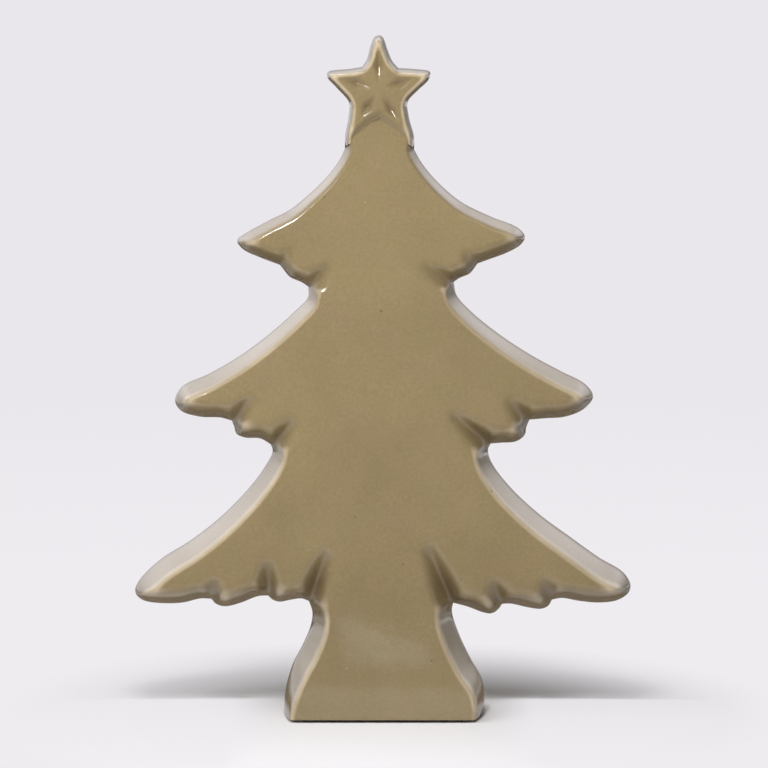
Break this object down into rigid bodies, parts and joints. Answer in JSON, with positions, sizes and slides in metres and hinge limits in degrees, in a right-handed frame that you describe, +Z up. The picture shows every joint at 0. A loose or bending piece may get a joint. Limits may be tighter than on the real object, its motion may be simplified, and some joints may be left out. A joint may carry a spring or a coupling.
{
  "type": "ceramic christmas tree",
  "caption": "Free-standing hollow ceramic fir tree with tiered branches, a flared trunk foot and a star on top, in a glossy sand-coloured glaze.",
  "frame": {"origin": "on the table, under the middle of the tree, at the centre of the foot's underside", "axes": "+Z up, +X to the viewer's right, -Y towards the viewer; the seam plane is Y = 0"},
  "size_m": [0.1824, 0.0456, 0.25],
  "materials": {
    "glaze": "glossy transparent sand-brown glaze over fired clay, paler on the edges and darker in the folds",
    "slip": "glazed line of joining slip, flush with the flanks",
    "bare_clay": "unglazed fired clay, wiped clean for firing",
    "felt": "self-adhesive felt"
  },
  "bodies": {
    "root": {"front_shell": "glaze", "back_shell": "glaze", "slip_seam": "slip", "star_topper": "glaze", "base_plate": "bare_clay", "felt_pad_front_left": "felt", "felt_pad_front_right": "felt", "felt_pad_back_left": "felt", "felt_pad_back_right": "felt"}
  },
  "joints": []
}
